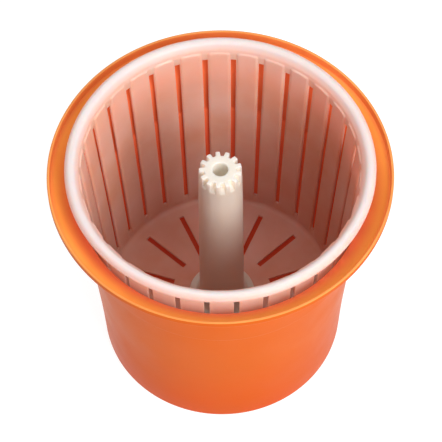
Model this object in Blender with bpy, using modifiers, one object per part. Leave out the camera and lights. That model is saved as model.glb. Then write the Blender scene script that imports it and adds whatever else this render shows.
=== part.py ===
"""Hand-cranked salad spinner: open bowl with its basket in place, lid lying beside it.

Metres, +Z up. The origin is on the bowl's axis, on the surface that it stands on. The basket,
its drive column and the bowl share that axis. The lid lies right side up at LID_X on the same
surface, as it is put down to fill the basket.
"""
import math

import bmesh
import bpy
from mathutils import Matrix

MM = 0.001
GAP = 0.3 * MM          # clearance between pieces that touch
CUT = 40 * MM           # length of a cutter that only has to go right through
SCREW_HOLE_R = 2.4 * MM
PILOT_R = 1.9 * MM

# Bowl
RIM_R = 165 * MM        # outside radius of the lip: the driving dimension
RIM_Z = 275 * MM        # top of the lip
LIP_T = 2.6 * MM
LIP_DEPTH = 9 * MM      # height of the upright lip inside, above the collar
LIP_FACE = 6 * MM       # height of its outside face, down to the rounded corner
LIP_CORNER = 4 * MM
WALL = 2.5 * MM
NECK_R = 136.8 * MM     # inside radius where the collar turns into the wall
NECK_Z = 239.5 * MM
FLARE = 1.28            # 1 would make the collar a quarter of an ellipse, 2 a straight chamfer
STEP_Z = 186 * MM       # stacking step, part-way up the wall
STEP_R = 130.9 * MM     # inside radius just below it
STEP_OUT = 2.2 * MM
KNEE_Z = 60 * MM        # below here the wall is steeper
KNEE_R = 122.4 * MM
BASE_R = 120.1 * MM     # inside radius of the wall, carried down to the standing surface
BASE_FILLET = 5 * MM
INNER_FILLET = 4.5 * MM
FLOOR_Z = 5 * MM        # top of the bowl's floor
FLOOR_T = 3 * MM
FOOT_R = 104 * MM       # inner radius of the ring that the bowl stands on
BOSS_R = 15 * MM        # boss on the axis that holds the pin
BOSS_Z = 22 * MM
BOSS_EDGE = 2 * MM      # how far its top and foot are drawn in and out
BOSS_SPREAD = 4 * MM    # height of its spreading foot
PIN_R = 4 * MM
PIN_FOOT = 6 * MM       # floor of the hole that holds the pin
PIN_TOP = 60 * MM
WASHER_R = 11 * MM
WASHER_T = 2 * MM

# Basket
BASKET_R = 147.7 * MM   # outside radius of the rolled rim
BASKET_TOP = RIM_Z + 15 * MM
RIM_ROLL = 4.5 * MM     # radius of the roll's outer edge
BASKET_WALL = 2.3 * MM
SHOULDER_Z = RIM_Z + 2 * MM    # where the wall starts to turn out under the rim
SHOULDER_RISE = 5 * MM
SHOULDER_OUT = 4 * MM
BASKET_FILLET = 6 * MM
SLOT_TOP = RIM_Z - 4.5 * MM
SLOT_TOP_R = 134.6 * MM  # outside radius of the wall at the slots' top
BASKET_TAPER = math.radians(3.8)
BASKET_FLOOR = 33.3 * MM
BASKET_FLOOR_T = 2.7 * MM
SLOTS = 30
SLOT_W = 5.2 * MM
SLOT_FOOT = 50 * MM
SLOT_PHASE = math.radians(-5.85)  # from +Y towards +X
FLOOR_SLOTS = 15
FLOOR_SLOT_IN = 52 * MM
FLOOR_SLOT_OUT = 104 * MM

# Drive column and its pinion
PINION_TEETH = 13
PINION_TIP = 20.5 * MM
PINION_ROOT = 15.7 * MM
PINION_PHASE = math.radians(-6.8)
PINION_TOP = RIM_Z + 3.4 * MM
TOOTH_H = 14 * MM
ROOT_SHARE = 0.30       # half a tooth at its root, flank and tip, as shares of the pitch
FLANK_SHARE = 0.26
TIP_SHARE = 0.19
FLANK_RISE = 0.65       # height of the flank's corner, as a share of the tooth's depth
TOOTH_BITE = 3 * MM     # how far a ring of teeth reaches into its hub
BITE = 0.2 * MM         # overlap that keeps joined faces from lying in one plane
COLUMN_SIDES = 28
COLUMN_R = 21 * MM
COLUMN_FOOT_R = 23 * MM
FLANGE_R = 34 * MM
FLANGE_T = 4.7 * MM
FLANGE_RISE = 20 * MM   # height at which the column starts to spread into its flange
BORE_R = 7.4 * MM
BORE_DEPTH = 45 * MM
CORE_R = 13 * MM        # hollow inside the column, closed by a cone under the bore
CORE_CONE = 10 * MM
BEARING_R = 15.2 * MM
BEARING_TOP = 52 * MM
COLLAR_R = 10 * MM
COLUMN_SCREW_R = 27 * MM

# Lid, heights above the surface that it lies on
LID_X = 430 * MM
LID_R = 161.2 * MM
LID_SKIRT_R = 155 * MM
LID_T = 2.6 * MM
LID_TOP = 34 * MM
LID_BEND = 8 * MM       # radius where the top turns down into the skirt
SKIRT_FLARE = 1 * MM    # how far the skirt slopes in to the bend and out to the flange
FLANGE_RISE_LID = 5 * MM
FLANGE_EDGE = 3.5 * MM
CENTRE_PIN_R = 6.9 * MM
PIN_PLATE_R = 14 * MM
SPIGOT_R = 4 * MM

# Crank and its gear
GEAR_TEETH = 39
GEAR_PITCH_R = 54.9 * MM
CENTRES = GEAR_PITCH_R * (1 + PINION_TEETH / GEAR_TEETH)   # gear axis from the lid's axis
ADDENDUM = 2.2 * MM
DEDENDUM = 2.3 * MM
GEAR_Z = 3 * MM
GEAR_H = 12 * MM
GEAR_SIDES = 48
GEAR_RIM_T = 6 * MM
WEB_Z = 4 * MM          # web's underside above the gear's
WEB_T = 3 * MM
GEAR_HUB_R = 13 * MM
GEAR_HUB_TOP = 27 * MM
GUARD_IN = 59.5 * MM
GUARD_T = 2.4 * MM
WINDOW_ROOM = 5 * MM    # room left round the pinion
LUG_R = 7 * MM
LUG_T = 5 * MM
LUG_OUT = 4 * MM        # lug's middle from the guard's outside
LUG_SPACING = 75        # degrees
SHAFT_R = 6 * MM
SHAFT_HEAD_R = 10 * MM
SHAFT_HEAD_T = 1.5 * MM
CRANK_THREAD_R = 2.3 * MM
THREAD_DEPTH = 14 * MM
CRANK_WASHER_R = 9 * MM
CRANK_WASHER_T = 1.2 * MM
LID_BOSS_R = 12 * MM
LID_BOSS_TOP = 38 * MM
ARM_L = 72 * MM
ARM_T = 8 * MM
ARM_Z = LID_BOSS_TOP + 1.5 * MM
ARM_HUB_R = 13 * MM
ARM_END_R = 10 * MM
ARM_HUB_TOP = 50 * MM
KNOB_PIN_R = 3.9 * MM
PIN_HEAD_R = 6.5 * MM
PIN_HEAD_T = 1.7 * MM
KNOB_THREAD_R = 2.1 * MM
KNOB_SCREW_L = 8 * MM
KNOB_R = 15 * MM
KNOB_WAIST_R = 11.5 * MM
KNOB_GRIP = 12 * MM     # height of the knob's widest part
KNOB_RECESS = 9 * MM    # depth of the recess for the screw and the cap
RECESS_R = 9 * MM
KNOB_FOOT = ARM_Z + ARM_T + 1 * MM
KNOB_H = 44 * MM

ROUND = 56              # sides of the large turned pieces
SMALL = 20              # sides of the small ones
SCREW_SIDES = 12

ORANGE = (0.80, 0.13, 0.025)
MILKY = (0.86, 0.62, 0.52)
OFF_WHITE = (0.86, 0.80, 0.72)
STEEL = (0.60, 0.60, 0.60)


def clear_scene():
    for obj in list(bpy.data.objects):
        bpy.data.objects.remove(obj, do_unlink=True)


def collection(name):
    group = bpy.data.collections.new(name)
    bpy.context.scene.collection.children.link(group)
    return group


def material(name, colour, roughness, metallic=0.0):
    mat = bpy.data.materials.new(name)
    mat.use_nodes = True
    shader = mat.node_tree.nodes["Principled BSDF"]
    shader.inputs["Base Color"].default_value = (*colour, 1.0)
    shader.inputs["Roughness"].default_value = roughness
    shader.inputs["Metallic"].default_value = metallic
    return mat


clear_scene()
PARTS = collection("salad_spinner")
CUTTERS = collection("cutters")


def add(name, mesh, mat=None, at=(0, 0, 0), group=None):
    """Put a mesh in the scene as a shaded object with its origin at a point."""
    obj = bpy.data.objects.new(name, mesh)
    (group or PARTS).objects.link(obj)
    obj.location = at
    if mat:
        mesh.materials.clear()
        mesh.materials.append(mat)
    else:
        obj.hide_render = True
        obj.display_type = "WIRE"
    return obj


def bake(obj):
    """Replace an object's mesh by the mesh that its modifiers or curve give."""
    graph = bpy.context.evaluated_depsgraph_get()
    graph.update()
    mesh = bpy.data.meshes.new_from_object(obj.evaluated_get(graph))
    work = bmesh.new()
    work.from_mesh(mesh)
    bmesh.ops.remove_doubles(work, verts=work.verts, dist=1e-6)
    work.to_mesh(mesh)
    work.free()
    return mesh


def turned(name, profile, mat=None, at=(0, 0, 0), sides=SMALL, group=None, phase=0.0):
    """Turn a profile of (radius, height) points about Z; it runs down its outer side."""
    closed = profile[0][0] > 0 and profile[-1][0] > 0
    mesh = bpy.data.meshes.new(name)
    work = bmesh.new()
    verts = [work.verts.new((r * math.cos(phase), r * math.sin(phase), z)) for r, z in profile]
    for a, b in zip(verts, verts[1:]):
        work.edges.new((a, b))
    if closed:
        work.edges.new((verts[-1], verts[0]))
    work.to_mesh(mesh)
    work.free()
    obj = add(name, mesh, mat, at, group)
    screw = obj.modifiers.new("Turn", "SCREW")
    screw.axis = "Z"
    screw.steps = screw.render_steps = sides
    screw.use_merge_vertices = True
    screw.merge_threshold = 1e-6
    screw.use_smooth_shade = False
    return obj


def arc(centre, radii, start, end, steps):
    """Points of an elliptical arc, angles in degrees from +radius towards +height."""
    points = []
    for i in range(steps + 1):
        angle = math.radians(start + (end - start) * i / steps)
        points.append((centre[0] + radii[0] * math.cos(angle), centre[1] + radii[1] * math.sin(angle)))
    return points


def outline(name, loops, height, z, group=None, at=(0, 0)):
    """A flat shape with holes, from closed 2D loops, as a prism from z to z + height."""
    curve = bpy.data.curves.new(name, "CURVE")
    curve.dimensions = "2D"
    curve.fill_mode = "BOTH"
    curve.extrude = height / 2
    for loop in loops:
        spline = curve.splines.new("POLY")
        spline.points.add(len(loop) - 1)
        for point, (x, y) in zip(spline.points, loop):
            point.co = (x, y, 0, 1)
        spline.use_cyclic_u = True
    temp = bpy.data.objects.new(name + "_curve", curve)
    CUTTERS.objects.link(temp)
    mesh = bake(temp)
    bpy.data.objects.remove(temp, do_unlink=True)
    mesh.transform(Matrix.Translation((at[0], at[1], z + height / 2)))
    return add(name, mesh, None, group=group or CUTTERS)


def circle(radius, sides, centre=(0, 0)):
    step = 2 * math.pi / sides
    return [(centre[0] + radius * math.cos(i * step), centre[1] + radius * math.sin(i * step))
            for i in range(sides)]


def boolean(obj, tool, operation):
    cut = obj.modifiers.new(tool.name, "BOOLEAN")
    cut.operation = operation
    cut.object = tool
    cut.solver = "EXACT"
    return cut


def boxes(name, sizes_and_places):
    """One cutter made of separate boxes, each given by its size and matrix."""
    mesh = bpy.data.meshes.new(name)
    work = bmesh.new()
    for size, place in sizes_and_places:
        scale = Matrix.Diagonal((*size, 1.0))
        bmesh.ops.create_cube(work, size=1.0, matrix=place @ scale)
    work.to_mesh(mesh)
    work.free()
    return add(name, mesh, None, group=CUTTERS)


def bearing_matrix(azimuth, radius, z):
    """A place at an azimuth from +Y towards +X, its local Y pointing outwards."""
    return Matrix.Rotation(-azimuth, 4, "Z") @ Matrix.Translation((0, radius, z))


# ---------------------------------------------------------------- bowl

def flare(centre, radii, start, end, steps):
    """The collar's curve, from 180 degrees at the neck to 90 at the lip, drawn in towards its chord."""
    points = []
    for i in range(steps + 1):
        angle = math.radians(start + (end - start) * i / steps)
        across, up = abs(math.cos(angle)) ** FLARE, math.sin(angle) ** FLARE
        points.append((centre[0] - radii[0] * across, centre[1] + radii[1] * up))
    return points


def wall_path():
    """The bowl's wall inside, from the surface that it stands on up to the neck."""
    return [(BASE_R, 0), (KNEE_R, KNEE_Z), (STEP_R, STEP_Z - STEP_OUT / 2),
            (STEP_R + STEP_OUT, STEP_Z + STEP_OUT / 2), (NECK_R, NECK_Z)]


def build_bowl(mat):
    """The bowl is solid on its axis: the profile runs up inside, over the lip and down outside."""
    shelf_r = RIM_R - LIP_T
    shelf_z = RIM_Z - LIP_DEPTH
    reach = shelf_r - NECK_R
    drop = shelf_z - NECK_Z
    hole = PIN_R + GAP
    wall = wall_path()
    inside = [(0, PIN_FOOT), (hole, PIN_FOOT), (hole, BOSS_Z), (BOSS_R - BOSS_EDGE, BOSS_Z),
              (BOSS_R, FLOOR_Z + BOSS_SPREAD), (BOSS_R + BOSS_EDGE, FLOOR_Z)]
    corner = INNER_FILLET
    inside += arc((BASE_R - corner, FLOOR_Z + corner), (corner, corner), -90, -4, 3) + wall[1:-1]
    inside += flare((shelf_r, NECK_Z), (reach, drop), 180, 90, 8)
    outside = [(shelf_r, RIM_Z), (RIM_R, RIM_Z)]
    outside += arc((RIM_R - LIP_CORNER, RIM_Z - LIP_FACE), (LIP_CORNER, LIP_CORNER), 0, -75, 3)
    under = LIP_DEPTH + WALL
    outside += flare((shelf_r, NECK_Z), (reach - WALL, RIM_Z - under - NECK_Z), 106, 180, 6)
    outside += [(r + WALL, z) for r, z in reversed(wall[1:-1])]
    foot = BASE_R + WALL
    outside += arc((foot - BASE_FILLET, BASE_FILLET), (BASE_FILLET, BASE_FILLET), 2, -90, 4)
    recess = FLOOR_Z - FLOOR_T
    outside += [(FOOT_R, 0), (FOOT_R - recess, recess), (BOSS_R + recess, recess), (BOSS_R, 0), (0, 0)]
    turned("outer_bowl", inside + outside, mat, sides=ROUND)


def build_pivot(steel, acetal):
    foot = PIN_FOOT + GAP
    nose = PIN_R / 2
    pin = [(0, PIN_TOP), (nose, PIN_TOP - nose / 4), (PIN_R, PIN_TOP - nose), (PIN_R, foot), (0, foot)]
    turned("pivot_pin", pin, steel)
    low = BOSS_Z + GAP
    top = low + WASHER_T
    hole = PIN_R + GAP
    turned("pivot_washer", [(hole, top), (WASHER_R, top), (WASHER_R, low), (hole, low)], acetal)


# ---------------------------------------------------------------- basket

def basket_r(z):
    """Outside radius of the basket's wall."""
    return SLOT_TOP_R - math.tan(BASKET_TAPER) * (SLOT_TOP - z)


def basket_profile():
    """Down the outside from the rim's crest, in along the floor, and back up the inside."""
    t = BASKET_WALL
    roll = (BASKET_R - RIM_ROLL, BASKET_TOP - RIM_ROLL)
    outer_roll = arc(roll, (RIM_ROLL, RIM_ROLL), 100, -20, 5)
    under_roll = arc(roll, (RIM_ROLL - t, RIM_ROLL - t), -20, 100, 4)
    shoulder = basket_r(SHOULDER_Z)
    neck_z = SHOULDER_Z + SHOULDER_RISE
    neck = [(shoulder + SHOULDER_OUT, neck_z), (shoulder, SHOULDER_Z)]
    floor_r = basket_r(BASKET_FLOOR)
    fillet = BASKET_FILLET
    heel = arc((floor_r - fillet, BASKET_FLOOR + fillet), (fillet, fillet), -4, -90, 3)
    hole = COLLAR_R + GAP
    top = BASKET_FLOOR + BASKET_FLOOR_T
    toe_r = fillet - t / 2
    toe = arc((floor_r - t - toe_r, top + toe_r), (toe_r, toe_r), -90, -4, 3)
    inner = [(shoulder - t, SHOULDER_Z), (shoulder + SHOULDER_OUT - t, neck_z + t)]
    return outer_roll + under_roll + neck + heel + [(hole, BASKET_FLOOR), (hole, top)] + toe + inner


def basket_slots():
    places = []
    mid = (SLOT_TOP + SLOT_FOOT) / 2
    size = (SLOT_W, CUT, SLOT_TOP - SLOT_FOOT)
    for k in range(SLOTS):
        azimuth = SLOT_PHASE + 2 * math.pi * k / SLOTS
        places.append((size, bearing_matrix(azimuth, basket_r(mid), mid)))
    return boxes("wall_slots", places)


def floor_slots():
    places = []
    length = FLOOR_SLOT_OUT - FLOOR_SLOT_IN
    size = (SLOT_W, length, CUT)
    for k in range(FLOOR_SLOTS):
        azimuth = SLOT_PHASE + 2 * math.pi * (k + 0.25) / FLOOR_SLOTS
        middle = FLOOR_SLOT_IN + length / 2
        places.append((size, bearing_matrix(azimuth, middle, BASKET_FLOOR)))
    return boxes("floor_slots", places)


def screw_places():
    for k in range(3):
        azimuth = 2 * math.pi * (k + 0.5) / 3
        yield k + 1, COLUMN_SCREW_R * math.sin(azimuth), COLUMN_SCREW_R * math.cos(azimuth)


def build_basket(mat):
    basket = turned("basket", basket_profile(), mat, sides=SLOTS * 2)
    boolean(basket, basket_slots(), "DIFFERENCE")
    boolean(basket, floor_slots(), "DIFFERENCE")
    for k, x, y in screw_places():
        hole = outline("screw_hole_%d" % k, [circle(SCREW_HOLE_R, SCREW_SIDES)], CUT / 2,
                       BASKET_FLOOR - CUT / 4, at=(x, y))
        boolean(basket, hole, "DIFFERENCE")
    return basket


def gear_loop(teeth, root, tip, phase):
    """Outline of a gear: each tooth has two root corners, two flanks and a rounded tip."""
    pitch = 2 * math.pi / teeth
    flank = root + FLANK_RISE * (tip - root)
    half = ((ROOT_SHARE, root), (FLANK_SHARE, flank), (TIP_SHARE, tip))
    spots = [(-share, radius) for share, radius in half] + [*reversed(half)]
    loop = []
    for k in range(teeth):
        for offset, radius in spots:
            angle = phase + (k + offset) * pitch
            loop.append((radius * math.cos(angle), radius * math.sin(angle)))
    return loop


def build_pinion(mat, acetal):
    top = PINION_TOP
    tooth_foot = top - TOOTH_H
    seat = BASKET_FLOOR + BASKET_FLOOR_T + GAP
    socket = BEARING_R + GAP
    ledge = BEARING_TOP + GAP
    profile = [(BORE_R, top), (PINION_ROOT, top), (PINION_ROOT, tooth_foot + 1 * MM),
               (COLUMN_R, tooth_foot), (COLUMN_FOOT_R, seat + FLANGE_RISE),
               (COLUMN_FOOT_R + FLANGE_T, seat + FLANGE_T), (FLANGE_R, seat + FLANGE_T),
               (FLANGE_R, seat), (socket, seat), (socket, ledge), (CORE_R, ledge),
               (CORE_R, top - BORE_DEPTH - CORE_CONE), (BORE_R, top - BORE_DEPTH)]
    column = turned("drive_pinion", profile, mat, sides=COLUMN_SIDES)
    ring = gear_loop(PINION_TEETH, PINION_ROOT, PINION_TIP, math.pi / 2 - PINION_PHASE)
    teeth = outline("pinion_teeth", [ring, circle(PINION_ROOT - TOOTH_BITE, COLUMN_SIDES)],
                    TOOTH_H, tooth_foot - BITE)
    boolean(column, teeth, "UNION")
    for k, x, y in screw_places():
        hole = outline("pilot_hole_%d" % k, [circle(PILOT_R, SCREW_SIDES)], FLANGE_T, seat - 1 * MM,
                       at=(x, y))
        boolean(column, hole, "DIFFERENCE")
    hole = PIN_R + GAP
    low = BOSS_Z + 2 * GAP + WASHER_T
    bearing = [(hole, BEARING_TOP), (BEARING_R, BEARING_TOP), (BEARING_R, seat), (COLLAR_R, seat),
               (COLLAR_R, low), (hole, low)]
    turned("foot_bearing", bearing, acetal)


def pan_screw(name, mat, at, head_r, head_h, shank_r, length, head_up=True):
    """A pan-head screw; at is the seat under its head."""
    profile = [(0, head_h), (head_r * 0.7, head_h), (head_r, head_h / 2), (head_r, 0), (shank_r, 0),
               (shank_r, -length + shank_r), (0, -length)]
    screw = turned(name, profile, mat, at, sides=SCREW_SIDES)
    if not head_up:
        screw.rotation_euler = (math.pi, 0, 0)
    return screw


def build_column_screws(steel):
    for k, x, y in screw_places():
        pan_screw("column_screw_%d" % k, steel, (x, y, BASKET_FLOOR - GAP), 3.8 * MM, 2.2 * MM,
                  1.6 * MM, 6 * MM, head_up=False)


# ---------------------------------------------------------------- lid

def lid_places():
    """The lid's axis and the crank's axis."""
    return (LID_X, 0.0), (LID_X, CENTRES)


def build_lid(mat, steel, off_white):
    axis, crank = lid_places()
    t = LID_T
    skirt = LID_SKIRT_R
    foot = skirt + SKIRT_FLARE
    bend = LID_BEND
    corner = (skirt - bend - SKIRT_FLARE, LID_TOP - bend)
    outside = [(0, LID_TOP)] + arc(corner, (bend, bend), 90, 5, 4)
    outside += [(foot, FLANGE_RISE_LID), (LID_R, FLANGE_EDGE), (LID_R, 0), (skirt - t, 0)]
    inside = [(foot - t, FLANGE_RISE_LID - SKIRT_FLARE)]
    inside += arc(corner, (bend - t, bend - t), 5, 90, 3) + [(0, LID_TOP - t)]
    lid = turned("lid_shell", outside + inside, mat, (*axis, 0), sides=ROUND)
    boss_foot = LID_TOP - 2 * t
    boss = outline("lid_boss", [circle(LID_BOSS_R, SMALL)], LID_BOSS_TOP - boss_foot, boss_foot, at=crank)
    boolean(lid, boss, "UNION")
    shaft_hole = outline("shaft_hole", [circle(SHAFT_R + GAP, SMALL)], CUT, LID_TOP - CUT / 2, at=crank)
    boolean(lid, shaft_hole, "DIFFERENCE")
    spigot_hole = outline("spigot_hole", [circle(SPIGOT_R + GAP, SMALL)], CUT, LID_TOP - CUT / 2, at=axis)
    boolean(lid, spigot_hole, "DIFFERENCE")
    build_centre_pin(off_white, axis)
    build_guard(off_white, steel, lid, axis, crank)


def build_centre_pin(mat, axis):
    """Plate under the lid, with a spigot up into it and a pin down into the pinion's bore."""
    under = LID_TOP - LID_T - GAP
    top = LID_TOP - GAP
    plate = under - LID_T
    nose = CENTRE_PIN_R / 4
    pin = [(0, top), (SPIGOT_R, top), (SPIGOT_R, under), (PIN_PLATE_R, under), (PIN_PLATE_R, plate),
           (CENTRE_PIN_R, plate - nose), (CENTRE_PIN_R, GEAR_Z + nose), (CENTRE_PIN_R - nose, GEAR_Z),
           (0, GEAR_Z)]
    turned("centre_pin", pin, mat, (*axis, 0))


def build_guard(mat, steel, lid, axis, crank):
    """Ring that keeps leaves off the gear, open towards the pinion, with three screw lugs."""
    under = LID_TOP - LID_T - GAP
    inner = GUARD_IN
    outer = inner + GUARD_T
    low = GEAR_Z - 1 * MM
    ring = [(inner, under), (outer, under), (outer, low), (inner, low)]
    guard = turned("gear_guard", ring, mat, (*crank, 0), sides=GEAR_SIDES)
    seat = under - LUG_T - GAP
    for k in (1, 2, 3):
        angle = math.radians(90 + LUG_SPACING * (k - 2))
        reach = outer + LUG_OUT
        spot = (crank[0] + reach * math.cos(angle), crank[1] + reach * math.sin(angle))
        boolean(guard, outline("lug_%d" % k, [circle(LUG_R, SMALL)], LUG_T, seat, at=spot), "UNION")
        drill = outline("lug_drill_%d" % k, [circle(PILOT_R, SCREW_SIDES)], CUT, seat - CUT / 2, at=spot)
        boolean(guard, drill, "DIFFERENCE")
        boolean(lid, drill, "DIFFERENCE")
        pan_screw("guard_screw_%d" % k, steel, (*spot, seat - GAP), 3.5 * MM, 2 * MM, 1.5 * MM, 7 * MM,
                  head_up=False)
    window = outline("guard_window", [circle(PINION_TIP + WINDOW_ROOM, SMALL)], CUT, -CUT / 8, at=axis)
    boolean(guard, window, "DIFFERENCE")


# ---------------------------------------------------------------- crank

def build_gear(mat):
    _, crank = lid_places()
    root = GEAR_PITCH_R - DEDENDUM
    rim_in = root - GEAR_RIM_T
    top = GEAR_Z + GEAR_H
    bore = SHAFT_R + GAP
    web_low = GEAR_Z + WEB_Z
    web_top = web_low + WEB_T
    profile = [(bore, GEAR_HUB_TOP), (GEAR_HUB_R, GEAR_HUB_TOP), (GEAR_HUB_R, web_top), (rim_in, web_top),
               (rim_in, top), (root, top), (root, GEAR_Z), (rim_in, GEAR_Z), (rim_in, web_low),
               (GEAR_HUB_R, web_low), (GEAR_HUB_R, GEAR_Z), (bore, GEAR_Z)]
    gear = turned("drive_gear", profile, mat, (*crank, 0), sides=GEAR_SIDES)
    ring = gear_loop(GEAR_TEETH, root - BITE, GEAR_PITCH_R + ADDENDUM, 0.0)
    teeth = outline("gear_teeth", [ring, circle(root - TOOTH_BITE, GEAR_SIDES)],
                    GEAR_H - 2 * BITE, GEAR_Z + BITE, at=crank)
    boolean(gear, teeth, "UNION")


def build_crank(mat, steel):
    _, crank = lid_places()
    top = ARM_HUB_TOP
    thread = CRANK_THREAD_R
    head = GEAR_Z - GAP
    foot = head - SHAFT_HEAD_T
    shaft = [(0, top - THREAD_DEPTH), (thread, top - THREAD_DEPTH), (thread, top), (SHAFT_R, top),
             (SHAFT_R, head), (SHAFT_HEAD_R, head), (SHAFT_HEAD_R, foot), (0, foot)]
    turned("crank_shaft", shaft, steel, (*crank, 0))
    low = top + GAP
    high = low + CRANK_WASHER_T
    washer = [(thread, high), (CRANK_WASHER_R, high), (CRANK_WASHER_R, low), (thread, low)]
    turned("crank_washer", washer, steel, (*crank, 0))
    pan_screw("crank_screw", steel, (*crank, high + GAP), 5.5 * MM, 3.2 * MM, 2 * MM, 12 * MM)
    build_arm(mat, crank)


def arm_loop():
    """Outline of the arm: two round ends joined by their common tangents, along -Y."""
    lean = math.asin((ARM_HUB_R - ARM_END_R) / ARM_L)
    steps = 10
    loop = []
    for radius, y, start, turn in ((ARM_HUB_R, 0, -lean, math.pi + 2 * lean),
                                   (ARM_END_R, -ARM_L, math.pi + lean, math.pi - 2 * lean)):
        for i in range(steps + 1):
            angle = start + turn * i / steps
            loop.append((radius * math.cos(angle), y + radius * math.sin(angle)))
    return loop


def build_arm(mat, crank):
    knob_axis = (crank[0], crank[1] - ARM_L)
    bar = outline("crank_arm", [arm_loop()], ARM_T, ARM_Z, group=PARTS, at=crank)
    mesh = bar.data
    mesh.materials.append(mat)
    mesh.transform(Matrix.Translation((-crank[0], -crank[1], 0)))
    bar.location = (*crank, 0)
    bar.hide_render = False
    bar.display_type = "TEXTURED"
    hub_foot = ARM_Z + ARM_T / 2
    hub = outline("arm_hub", [circle(ARM_HUB_R - 0.5 * MM, SMALL)], ARM_HUB_TOP - GAP - hub_foot, hub_foot,
                  at=crank)
    boolean(bar, hub, "UNION")
    below = ARM_Z - CUT / 4
    hub_hole = outline("hub_hole", [circle(SHAFT_R + GAP, SMALL)], CUT, below, at=crank)
    boolean(bar, hub_hole, "DIFFERENCE")
    pin_hole = outline("pin_hole", [circle(KNOB_PIN_R + GAP, SMALL)], CUT, below, at=knob_axis)
    boolean(bar, pin_hole, "DIFFERENCE")


def build_knob(mat, steel):
    """A waisted knob that turns on its pin, held by a screw under a snap-in cap."""
    _, crank = lid_places()
    at = (crank[0], crank[1] - ARM_L, 0)
    low = KNOB_FOOT
    top = low + KNOB_H
    seat = top - KNOB_RECESS
    head = ARM_Z - GAP
    pin_top = seat + GAP
    screw_foot = pin_top - KNOB_SCREW_L - 2 * MM
    pin = [(0, screw_foot), (KNOB_THREAD_R, screw_foot), (KNOB_THREAD_R, pin_top), (KNOB_PIN_R, pin_top),
           (KNOB_PIN_R, head), (PIN_HEAD_R, head), (PIN_HEAD_R, head - PIN_HEAD_T), (0, head - PIN_HEAD_T)]
    turned("knob_pin", pin, steel, at)
    edge = 2 * MM
    neck = KNOB_R - edge
    bore = KNOB_PIN_R + GAP
    knob = [(RECESS_R, top), (neck, top), (KNOB_R, top - edge), (KNOB_R, top - KNOB_GRIP),
            (KNOB_WAIST_R, top - 2 * KNOB_GRIP), (KNOB_WAIST_R, low + 4 * edge), (neck, low + edge),
            (neck, low), (bore, low), (bore, seat), (RECESS_R, seat)]
    turned("knob", knob, mat, at)
    pan_screw("knob_screw", steel, (at[0], at[1], pin_top + GAP), PIN_HEAD_R, 2.4 * MM, 1.8 * MM,
              KNOB_SCREW_L)
    cap_low = seat + KNOB_RECESS / 2
    cap_r = RECESS_R - GAP
    cap = [(0, top + GAP), (cap_r - 1.5 * MM, top), (cap_r, top - 0.8 * MM), (cap_r, cap_low),
           (0, cap_low)]
    turned("knob_cap", cap, mat, at)


def build():
    orange = material("orange_pp", ORANGE, 0.35)
    milky = material("milky_pp", MILKY, 0.4)
    column = material("off_white_pp", OFF_WHITE, 0.45)
    acetal = material("acetal", OFF_WHITE, 0.35)
    lid = material("lid_pp", ORANGE, 0.35)
    crank = material("crank_pp", OFF_WHITE, 0.4)
    steel = material("stainless", STEEL, 0.3, 1.0)
    build_bowl(orange)
    build_pivot(steel, acetal)
    build_basket(milky)
    build_pinion(column, acetal)
    build_column_screws(steel)
    build_lid(lid, steel, column)
    build_gear(column)
    build_crank(crank, steel)
    build_knob(crank, steel)


build()
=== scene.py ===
"""Looks of the salad spinner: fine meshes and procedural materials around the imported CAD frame."""
import math

import bmesh
import bpy
import numpy as np
from mathutils import Matrix, Vector


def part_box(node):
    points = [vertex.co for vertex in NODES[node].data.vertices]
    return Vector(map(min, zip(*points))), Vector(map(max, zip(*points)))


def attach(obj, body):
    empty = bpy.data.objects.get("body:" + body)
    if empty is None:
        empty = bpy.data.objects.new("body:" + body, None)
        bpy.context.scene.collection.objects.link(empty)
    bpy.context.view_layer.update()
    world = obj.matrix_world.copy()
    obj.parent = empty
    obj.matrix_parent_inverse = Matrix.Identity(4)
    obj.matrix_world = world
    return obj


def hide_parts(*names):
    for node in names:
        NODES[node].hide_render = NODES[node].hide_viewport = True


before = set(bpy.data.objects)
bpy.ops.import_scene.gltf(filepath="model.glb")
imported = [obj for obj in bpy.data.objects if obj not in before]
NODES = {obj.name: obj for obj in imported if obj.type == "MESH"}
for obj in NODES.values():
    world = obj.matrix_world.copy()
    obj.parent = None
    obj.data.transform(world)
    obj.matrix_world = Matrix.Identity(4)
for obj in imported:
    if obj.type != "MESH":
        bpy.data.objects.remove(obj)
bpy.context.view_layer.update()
MM = 0.001
TAU = 2 * math.pi
FINE = 192               # sides of the large turned pieces
SMALL = 64               # sides of the small ones


def low(node):
    return Vector(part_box(node)[0])


def high(node):
    return Vector(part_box(node)[1])


def axis_of(node):
    """The point in the plan where a turned node has its axis."""
    middle = (low(node) + high(node)) / 2
    return middle.x, middle.y


# Driving sizes, read from the frame. The bowl, the basket and the pinion turn about its Z axis.
RIM_R, RIM_Z = high("outer_bowl").x, high("outer_bowl").z
BASKET_R, BASKET_TOP = high("basket").x, high("basket").z
BASKET_FLOOR = low("basket").z
PINION_TOP = high("drive_pinion").z
LID_X, LID_Y = axis_of("lid_shell")
LID_R = high("lid_shell").x - LID_X
CRANK = axis_of("drive_gear")
KNOB = axis_of("knob")

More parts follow.
